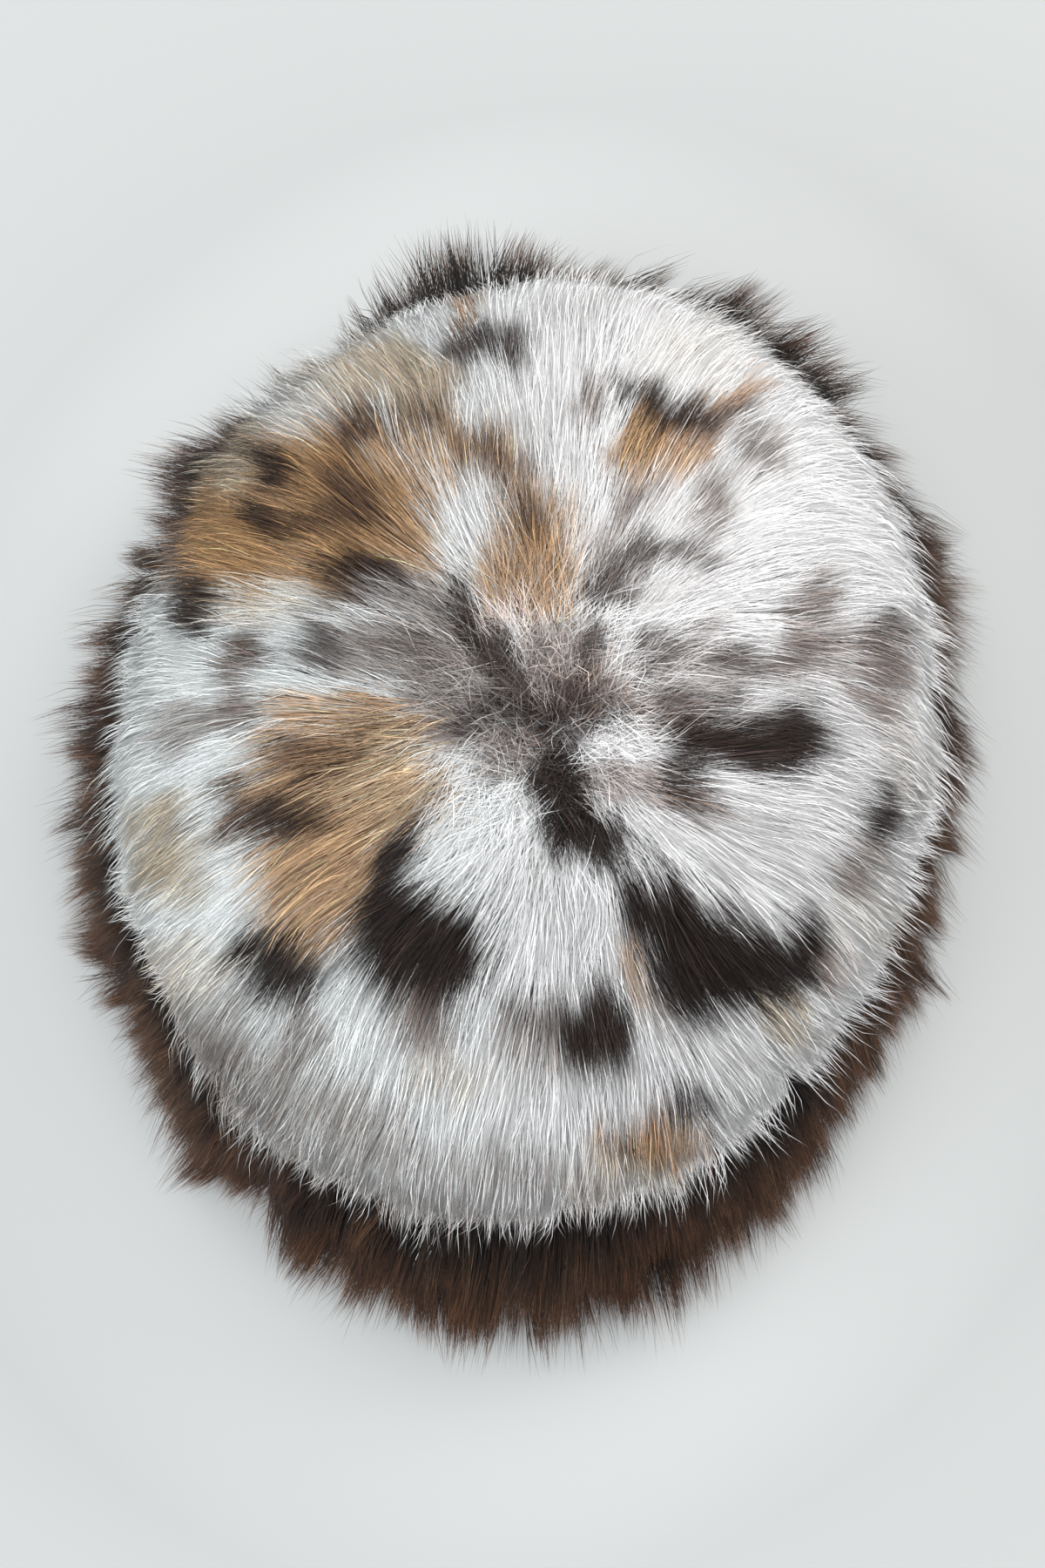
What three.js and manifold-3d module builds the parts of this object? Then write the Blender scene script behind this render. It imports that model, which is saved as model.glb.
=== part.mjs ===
import * as THREE from "three";
import { mergeVertices } from "three/addons/utils/BufferGeometryUtils.js";
import Module from "manifold-3d";

// A round hat of long-pile fur: six spotted crown gores over a deep brown band.
// Millimetres, +Z up, lower edge at z = 0, the back of the hat towards +Y.

// hide, measured to its outer face
const hideHalfWidth = 85;
const hideHalfLength = 107;
const seamHeight = 70;
const domeRise = 47;
const hideWall = 2.5;
// the point where the gores meet lies a little behind the middle
const tipShift = { x: -9, y: 10 };
const bandSpread = 0.02;

// dense underfur that fills the pile below the long hair
const crownUnderfur = 7;
const bandUnderfur = 12;

// cuts between neighbouring pieces
const pieceGap = 0.4;
const facetTolerance = 0.3;
const seamSlope = 1;
const reachOut = 60;
const domeSides = 42;
const domeSteps = 8;

// moves the middle of the outline onto the origin
const planShift = { x: -1.6, y: 0.25 };

const crownRows = [
  { travel: 0.03, locks: 1, length: 28, width: 20, tipRise: 9 },
  { travel: 0.13, locks: 1, length: 34, width: 25, tipRise: 9 },
  { travel: 0.26, locks: 2, length: 36, width: 25, tipRise: 9 },
  { travel: 0.41, locks: 3, length: 38, width: 27, tipRise: 9 },
  { travel: 0.57, locks: 4, length: 38, width: 27, tipRise: 9 },
  { travel: 0.75, locks: 4, length: 36, width: 29, tipRise: 10 },
  { travel: 0.91, locks: 4, length: 25, width: 31, tipRise: 15 },
];
// locks stand this much wider than evenly between the seams
const lockSpread = 1.12;
const crownLock = { thickness: 11, sink: 1.4, rootRise: -2, bodyRise: 8 };

const bandRows = [
  { height: 60, locks: 22, length: 22, width: 34, out: 27 },
  { height: 44, locks: 22, length: 26, width: 34, out: 29 },
  { height: 27, locks: 22, length: 24, width: 33, out: 27 },
  { height: 12, locks: 22, length: 18, width: 32, out: 22 },
];
const bandLock = { thickness: 14, sink: 0.5, rootRise: -1 };

// how much further, or less far, the band's hair reaches round the hat
const bandReach = [
  { angle: 0, extra: 2 },
  { angle: 20, extra: 0 },
  { angle: 36, extra: -4 },
  { angle: 48, extra: 1 },
  { angle: 60, extra: -2 },
  { angle: 76, extra: 4 },
  { angle: 92, extra: 6 },
  { angle: 120, extra: 5 },
  { angle: 140, extra: 2 },
  { angle: 156, extra: -3 },
  { angle: 188, extra: -1 },
  { angle: 200, extra: -3 },
  { angle: 216, extra: 4 },
  { angle: 232, extra: 2 },
  { angle: 249, extra: 11 },
  { angle: 268, extra: 5 },
  { angle: 294, extra: 10 },
  { angle: 312, extra: 2 },
  { angle: 327, extra: 6 },
  { angle: 344, extra: 0 },
];

const gores = [
  { name: "crown_gore_back_left", from: 0, to: 60, color: 0xd9cdbd },
  { name: "crown_gore_back", from: 60, to: 120, color: 0xe6e0da },
  { name: "crown_gore_back_right", from: 120, to: 180, color: 0xdfd8d2 },
  { name: "crown_gore_front_right", from: 180, to: 240, color: 0xe8e4e0 },
  { name: "crown_gore_front", from: 240, to: 300, color: 0xe2d9cf },
  { name: "crown_gore_front_left", from: 300, to: 360, color: 0xc9ad8c },
];
const bandColor = 0x4a382c;

const wasm = await Module();
wasm.setup();

const radians = (degrees) => (degrees * Math.PI) / 180;

// small repeatable variation
function variation(seed) {
  let state = seed;
  return () => {
    state = (state * 1664525 + 1013904223) % 4294967296;
    return state / 4294967296 - 0.5;
  };
}

// A place on the hide: travel 0 is the tip, 1 the crown seam, 2 the lower edge.
function hidePlace(travel, angle) {
  const onCrown = travel <= 1;
  const fall = radians(90 * Math.min(travel, 1));
  const share = onCrown ? Math.sin(fall) : 1 + bandSpread * (travel - 1);
  const height = onCrown ? seamHeight + domeRise * Math.cos(fall) : seamHeight * (2 - travel);
  const shift = Math.max(0, 1 - share);
  return new THREE.Vector3(
    hideHalfWidth * share * Math.cos(angle) + tipShift.x * shift,
    hideHalfLength * share * Math.sin(angle) + tipShift.y * shift,
    height,
  );
}

// The place with the directions down the hide, round it and out of it.
function hideFrame(travel, angle) {
  const step = 0.004;
  const place = hidePlace(travel, angle);
  const low = Math.max(travel - step, 0.001);
  const down = hidePlace(travel + step, angle).sub(hidePlace(low, angle));
  const round = hidePlace(travel, angle + step).sub(hidePlace(travel, angle - step));
  const downRate = down.length() / (travel + step - low);
  const roundRate = Math.max(round.length() / (2 * step), 4);
  down.normalize();
  round.normalize();
  const out = down.clone().cross(round).negate();
  if (out.z < 0 && travel < 1) out.negate();
  if (travel >= 1 && out.dot(new THREE.Vector3(place.x, place.y, 0)) < 0) out.negate();
  return { place, down, round, out: out.normalize(), downRate, roundRate };
}

// A closed body through rings with the same number of points, first and last ring capped.
function bodyThrough(rings) {
  const positions = [];
  const triangle = (a, b, c) => positions.push(...a.toArray(), ...b.toArray(), ...c.toArray());
  const middle = (ring) => ring
    .reduce((sum, point) => sum.add(point), new THREE.Vector3())
    .divideScalar(ring.length);
  const sides = rings[0].length;
  for (let r = 0; r + 1 < rings.length; r += 1) {
    for (let s = 0; s < sides; s += 1) {
      const t = (s + 1) % sides;
      triangle(rings[r][s], rings[r][t], rings[r + 1][t]);
      triangle(rings[r][s], rings[r + 1][t], rings[r + 1][s]);
    }
  }
  const first = rings[0];
  const last = rings[rings.length - 1];
  for (let s = 0; s < sides; s += 1) {
    const t = (s + 1) % sides;
    triangle(middle(first), first[t], first[s]);
    triangle(middle(last), last[s], last[t]);
  }
  return solidFrom(positions);
}

// A closed solid from loose triangles, turned so that its faces point out.
function solidFrom(positions) {
  const loose = new THREE.BufferGeometry();
  loose.setAttribute("position", new THREE.Float32BufferAttribute(positions, 3));
  const joined = mergeVertices(loose, 1e-4);
  const index = Array.from(joined.index.array);
  const kept = [];
  for (let i = 0; i < index.length; i += 3) {
    const [a, b, c] = index.slice(i, i + 3);
    if (a !== b && b !== c && c !== a) kept.push(a, b, c);
  }
  const vertProperties = new Float32Array(joined.attributes.position.array);
  const make = (triVerts) => new wasm.Manifold(
    new wasm.Mesh({ numProp: 3, vertProperties, triVerts: new Uint32Array(triVerts) }),
  );
  const solid = make(kept);
  if (solid.volume() > 0) return solid;
  const turned = [];
  for (let i = 0; i < kept.length; i += 3) turned.push(kept[i], kept[i + 2], kept[i + 1]);
  return make(turned);
}

// Ellipse rings round the hat, from rows of outset from the hide and height.
function ellipseRings(rows, sides) {
  return rows.map(({ outset, height }) => Array.from({ length: sides }, (_, s) => {
    const angle = (2 * Math.PI * s) / sides;
    return new THREE.Vector3(
      (hideHalfWidth + outset) * Math.cos(angle),
      (hideHalfLength + outset) * Math.sin(angle),
      height,
    );
  }));
}

// A dome over the head at a distance out of the hide's face, with its floor at the seam.
function dome(outset, floorHeight, sides, steps) {
  const rings = [];
  for (let k = steps; k >= 1; k -= 1) {
    const travel = k / steps;
    rings.push(Array.from({ length: sides }, (_, s) => {
      const { place, out } = hideFrame(travel, (2 * Math.PI * s) / sides);
      return place.addScaledVector(out, outset);
    }));
  }
  const top = hideFrame(0.02, 0).place;
  top.set(tipShift.x, tipShift.y, seamHeight + domeRise + outset);
  const rimRing = rings[0].map((point) => new THREE.Vector3(point.x, point.y, floorHeight));
  const tipRing = rings[rings.length - 1].map(() => top.clone());
  return bodyThrough([rimRing, ...rings, tipRing]);
}

// One lock of hair: three-sided sections along a path over the hide, closed to a point.
function lock({ travel, angle, heading, turn, length, width, thickness, sink, rise }) {
  const shares = [0, 0.36, 0.72, 1];
  const widths = [0.7, 1, 0.74, 0];
  const depths = [0.9, 1, 0.74, 0];
  const rings = [];
  let at = { travel, angle };
  shares.forEach((share, k) => {
    if (k > 0) {
      const pace = (share - shares[k - 1]) * length;
      const here = hideFrame(at.travel, at.angle);
      const way = heading(at.angle) + turn;
      at = {
        travel: at.travel + (Math.cos(way) * pace) / here.downRate,
        angle: at.angle + (Math.sin(way) * pace) / here.roundRate,
      };
    }
    const { place, down, round, out } = hideFrame(at.travel, at.angle);
    const way = heading(at.angle) + turn;
    const across = round.clone().multiplyScalar(Math.cos(way)).addScaledVector(down, -Math.sin(way));
    const centre = place.addScaledVector(out, rise[k]);
    const halfWidth = (width / 2) * widths[k];
    const halfDepth = (thickness / 2) * depths[k];
    rings.push([
      centre.clone().addScaledVector(across, halfWidth).addScaledVector(out, -halfDepth * sink),
      centre.clone().addScaledVector(out, halfDepth),
      centre.clone().addScaledVector(across, -halfWidth).addScaledVector(out, -halfDepth * sink),
    ]);
  });
  return bodyThrough(rings);
}

// The largest closed body, without any shut-in space or loose crumb.
function wholeOf(solid) {
  const parts = solid.simplify(facetTolerance).decompose();
  return parts.reduce((best, part) => (part.volume() > best.volume() ? part : best));
}

// Room above, or below, the slanting cut where the crown's hair lies over the band's.
function roomAboveSeam() {
  const floorHeight = seamHeight + pieceGap / 2;
  return bodyThrough(ellipseRings([
    { outset: 0, height: floorHeight },
    { outset: reachOut, height: floorHeight - reachOut * seamSlope },
    { outset: reachOut, height: 200 },
  ], domeSides));
}

function roomBelowSeam() {
  const ceiling = seamHeight - pieceGap / 2;
  return bodyThrough(ellipseRings([
    { outset: reachOut, height: 0 },
    { outset: reachOut, height: ceiling - reachOut * seamSlope },
    { outset: 0, height: ceiling },
  ], domeSides));
}

// The upright wedge of room that one gore has between its two seams.
function goreRoom({ from, to }) {
  const tip = new THREE.Vector3(tipShift.x, tipShift.y, 0);
  const far = (degrees) => {
    const rim = new THREE.Vector3(
      hideHalfWidth * Math.cos(radians(degrees)),
      hideHalfLength * Math.sin(radians(degrees)),
      0,
    );
    return rim.sub(tip).normalize();
  };
  const start = far(from);
  const end = far(to);
  const inset = pieceGap / 2 / Math.sin(start.angleTo(end) / 2);
  const bisector = start.clone().add(end).normalize();
  const corner = tip.clone().addScaledVector(bisector, inset);
  const points = [
    corner,
    corner.clone().addScaledVector(start, 300),
    corner.clone().addScaledVector(end, 300),
  ];
  const atHeight = (height) => points.map((point) => new THREE.Vector3(point.x, point.y, height));
  return bodyThrough([atHeight(0), atHeight(200)]);
}

function goreLocks({ from, to }, seed) {
  const vary = variation(seed);
  const centre = (from + to) / 2;
  const combed = (angle) => -0.85 * (angle - radians(centre));
  const locks = [];
  crownRows.forEach((row) => {
    for (let k = 0; k < row.locks; k += 1) {
      const spread = ((k + 0.5) / row.locks - 0.5) * (to - from) * lockSpread;
      locks.push(lock({
        travel: row.travel + 0.03 * vary(),
        angle: radians(centre + spread + 5 * vary()),
        heading: combed,
        turn: 0.3 * vary(),
        length: row.length + 5 * vary(),
        width: row.width + 4 * vary(),
        thickness: crownLock.thickness + 2 * vary(),
        sink: crownLock.sink,
        rise: [
          crownLock.rootRise,
          crownLock.bodyRise + 2 * vary(),
          (crownLock.bodyRise + row.tipRise) / 2 + 1 + 2 * vary(),
          row.tipRise + 2 * vary(),
        ],
      }));
    }
  });
  return locks;
}

function extraReach(degrees) {
  const turned = ((degrees % 360) + 360) % 360;
  const wrapped = [...bandReach, { angle: 360, extra: bandReach[0].extra }];
  const next = wrapped.findIndex((row) => row.angle > turned);
  const [a, b] = [wrapped[next - 1], wrapped[next]];
  const share = (turned - a.angle) / (b.angle - a.angle);
  return a.extra + (b.extra - a.extra) * (0.5 - 0.5 * Math.cos(Math.PI * share));
}

function bandLocks() {
  const vary = variation(77);
  const locks = [];
  bandRows.forEach((row, r) => {
    for (let k = 0; k < row.locks; k += 1) {
      const degrees = (360 * (k + (r % 2) / 2)) / row.locks + 4 * vary();
      const out = row.out + extraReach(degrees) + 2.5 * vary();
      locks.push(lock({
        travel: 2 - row.height / seamHeight,
        angle: radians(degrees),
        heading: () => 0,
        turn: 0.36 * vary(),
        length: row.length + 4 * vary(),
        width: row.width + 4 * vary(),
        thickness: bandLock.thickness,
        sink: bandLock.sink,
        rise: [bandLock.rootRise, 0.52 * out, 0.86 * out, out],
      }));
    }
  });
  return locks;
}

function crownSolids() {
  const outer = dome(crownUnderfur, seamHeight - 20, domeSides, domeSteps);
  const inner = dome(-hideWall, 0, domeSides, domeSteps);
  const above = roomAboveSeam();
  return gores.map((gore, g) => {
    const room = goreRoom(gore).intersect(above);
    const fur = wasm.Manifold.union([outer, ...goreLocks(gore, 13 + 7 * g)]);
    return wholeOf(fur.subtract(inner).intersect(room));
  });
}

function bandSolid() {
  const ringRows = (outset) => [
    { outset, height: 0 },
    { outset, height: seamHeight },
  ];
  const outer = bodyThrough(ellipseRings(ringRows(bandUnderfur), domeSides));
  const inner = bodyThrough(ellipseRings([
    { outset: -hideWall, height: -5 },
    { outset: -hideWall, height: seamHeight + 5 },
  ], domeSides));
  const fur = wasm.Manifold.union([outer, ...bandLocks()]);
  return wholeOf(fur.subtract(inner).intersect(roomBelowSeam()));
}

function meshOf(solid, name, color) {
  const { vertProperties, triVerts, numProp } = solid.getMesh();
  const positions = new Float32Array((vertProperties.length / numProp) * 3);
  for (let i = 0; i < positions.length / 3; i += 1) {
    positions[3 * i] = vertProperties[numProp * i] + planShift.x;
    positions[3 * i + 1] = vertProperties[numProp * i + 1] + planShift.y;
    positions[3 * i + 2] = vertProperties[numProp * i + 2];
  }
  const geometry = new THREE.BufferGeometry();
  geometry.setAttribute("position", new THREE.BufferAttribute(positions, 3));
  geometry.setIndex(Array.from(triVerts));
  geometry.computeVertexNormals();
  const material = new THREE.MeshStandardMaterial({ color, roughness: 0.95, metalness: 0 });
  const mesh = new THREE.Mesh(geometry, material);
  mesh.name = name;
  return mesh;
}

const hat = new THREE.Group();
hat.name = "fur_trimmed_hat";
crownSolids().forEach((solid, g) => hat.add(meshOf(solid, gores[g].name, gores[g].color)));
hat.add(meshOf(bandSolid(), "fur_band", bandColor));

export default hat;
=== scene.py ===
import math

import bpy
import numpy as np
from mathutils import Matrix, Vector


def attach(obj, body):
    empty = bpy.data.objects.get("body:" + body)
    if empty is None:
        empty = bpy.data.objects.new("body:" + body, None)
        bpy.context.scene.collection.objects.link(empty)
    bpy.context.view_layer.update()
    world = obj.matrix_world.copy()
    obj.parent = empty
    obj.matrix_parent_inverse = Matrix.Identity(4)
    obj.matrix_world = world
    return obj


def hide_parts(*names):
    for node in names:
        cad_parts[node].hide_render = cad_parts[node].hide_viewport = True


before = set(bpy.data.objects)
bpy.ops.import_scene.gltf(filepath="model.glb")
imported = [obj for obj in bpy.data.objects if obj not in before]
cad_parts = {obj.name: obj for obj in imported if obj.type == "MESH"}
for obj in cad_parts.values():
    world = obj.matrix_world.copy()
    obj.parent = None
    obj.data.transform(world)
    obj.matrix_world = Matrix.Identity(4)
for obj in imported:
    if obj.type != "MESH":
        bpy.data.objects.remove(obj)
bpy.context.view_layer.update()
print("frame loaded")

# the hide that every hair grows from, in metres, as in the solids
hide = {
    "halfWidth": 0.085,
    "halfLength": 0.107,
    "seamHeight": 0.070,
    "domeRise": 0.047,
    "wall": 0.0025,
    "bandSpread": 0.02,
    "tipShift": np.array([-0.009, 0.010]),
    "planShift": np.array([-0.0016, 0.00025]),
    "travelRange": (0.002, 2.3),
    "rootHeight": 0.003,
}


def hidePlace(travel, angle):
    # travel 0 is the crown's tip, 1 the crown seam, 2 the lower edge
    travel = np.asarray(travel, float)
    angle = np.asarray(angle, float)
    fall = np.radians(90 * np.clip(travel, 0, 1))
    onCrown = travel <= 1
    share = np.where(onCrown, np.sin(fall), 1 + hide["bandSpread"] * (travel - 1))
    crownHeight = hide["seamHeight"] + hide["domeRise"] * np.cos(fall)
    height = np.where(onCrown, crownHeight, hide["seamHeight"] * (2 - travel))
    shift = np.clip(1 - share, 0, None)
    across = hide["halfWidth"] * share * np.cos(angle) + hide["tipShift"][0] * shift
    along = hide["halfLength"] * share * np.sin(angle) + hide["tipShift"][1] * shift
    return np.stack([across + hide["planShift"][0], along + hide["planShift"][1], height], -1)


def unit(vectors):
    return vectors / np.maximum(np.linalg.norm(vectors, axis=-1, keepdims=True), 1e-9)


def hideFrame(travel, angle):
    # the place on the hide, its directions, and how far one step of travel or angle goes there
    step, leastTravel, leastRate = 0.004, 0.001, 0.004
    low = np.maximum(travel - step, leastTravel)
    down = hidePlace(travel + step, angle) - hidePlace(low, angle)
    around = hidePlace(travel, angle + step) - hidePlace(travel, angle - step)
    downRate = np.linalg.norm(down, axis=-1) / (travel + step - low)
    aroundRate = np.maximum(np.linalg.norm(around, axis=-1) / (2 * step), leastRate)
    down, around = unit(down), unit(around)
    return {
        "place": hidePlace(travel, angle),
        "down": down,
        "around": around,
        "out": unit(np.cross(around, -down)),
        "downRate": downRate,
        "aroundRate": aroundRate,
    }


def walkHide(travel, angle, wayAt, distance, steps=5):
    # follows the hide from a place, in a direction that depends on the angle round the hat
    for _ in range(steps):
        here = hideFrame(travel, angle)
        way = wayAt(angle)
        travel = travel + np.cos(way) * distance / steps / here["downRate"]
        angle = angle + np.sin(way) * distance / steps / here["aroundRate"]
    return np.clip(travel, *hide["travelRange"]), angle


def softNoise(points, scale, seed, waves=9):
    # waves of about this length in all directions, added up to between about -1 and 1
    rng = np.random.default_rng(seed)
    heading = unit(rng.normal(size=(waves, 3)))
    pitch = rng.uniform(0.6, 1.6, waves) * 2 * np.pi / scale
    phase = rng.uniform(0, 2 * np.pi, waves)
    return np.sin(points @ (heading * pitch[:, None]).T + phase).mean(-1) * 2


def addWaves(points, waves):
    # each wave has its size, its length and its seed
    return sum(size * softNoise(points, length, seed) for size, length, seed in waves)


view = {
    "azimuth": 191.5,
    "elevation": 73,
    "distance": 1.08,
    "lens": 100,
    "sensor": 36,
    "imageWidth": 1200,
    "imageHeight": 1800,
    # where this height on the hat's axis falls in the frame
    "markHeight": 0.040,
    "markAcross": 597,
    "markDown": 885,
}


def cameraAxes():
    azimuth, elevation = math.radians(view["azimuth"]), math.radians(view["elevation"])
    back = np.array([
        math.sin(azimuth) * math.cos(elevation),
        -math.cos(azimuth) * math.cos(elevation),
        math.sin(elevation),
    ])
    right = np.array([math.cos(azimuth), math.sin(azimuth), 0.0])
    return right, np.cross(back, right), back


pixelFocal = view["lens"] / view["sensor"] * view["imageHeight"]
cameraRight, cameraUp, cameraBack = cameraAxes()
pixelSize = view["distance"] / pixelFocal
aimPoint = (
    np.array([0.0, 0.0, view["markHeight"]])
    + cameraRight * (view["imageWidth"] / 2 - view["markAcross"]) * pixelSize
    - cameraUp * (view["imageHeight"] / 2 - view["markDown"]) * pixelSize
)
eyePoint = aimPoint + cameraBack * view["distance"]


def inFrame(points):
    fromEye = points - eyePoint
    depth = -(fromEye @ cameraBack)
    across = view["imageWidth"] / 2 + pixelFocal * (fromEye @ cameraRight) / depth
    down = view["imageHeight"] / 2 - pixelFocal * (fromEye @ cameraUp) / depth
    return across, down


def newObject(name, data):
    item = bpy.data.objects.new(name, data)
    bpy.context.scene.collection.objects.link(item)
    return item


def makeCamera():
    data = bpy.data.cameras.new("hatCamera")
    data.lens = view["lens"]
    data.sensor_width = view["sensor"]
    camera = newObject("hatCamera", data)
    camera.location = Vector(eyePoint)
    camera.rotation_mode = "QUATERNION"
    camera.rotation_quaternion = Vector(-cameraBack).to_track_quat("-Z", "Y")
    bpy.context.scene.camera = camera


makeCamera()
print("camera set")

tints = {
    "white": (0.98, 0.97, 0.968),
    # a cooler, darker white, painted shade for the hat's less lit left side
    "leftShadeWhite": (0.93, 0.965, 0.95),
    "cream": (0.90, 0.80, 0.67),
    "blush": (0.96, 0.87, 0.80),
    "paleTan": (0.62, 0.50, 0.36),
    "lightTan": (0.50, 0.36, 0.23),
    "tan": (0.41, 0.235, 0.110),
    "honey": (0.475, 0.292, 0.162),
    "sand": (0.72, 0.56, 0.40),
    "drab": (0.46, 0.36, 0.24),
    "orangeTan": (0.50, 0.285, 0.15),
    "pinkish": (0.74, 0.57, 0.50),
    "brown": (0.088, 0.052, 0.034),
    "greyBrown": (0.185, 0.140, 0.120),
    "taupe": (0.31, 0.255, 0.235),
    "grey": (0.26, 0.225, 0.205),
    "darkGrey": (0.078, 0.060, 0.053),
    "dark": (0.031, 0.020, 0.016),
    "black": (0.022, 0.0145, 0.012),
}

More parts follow.
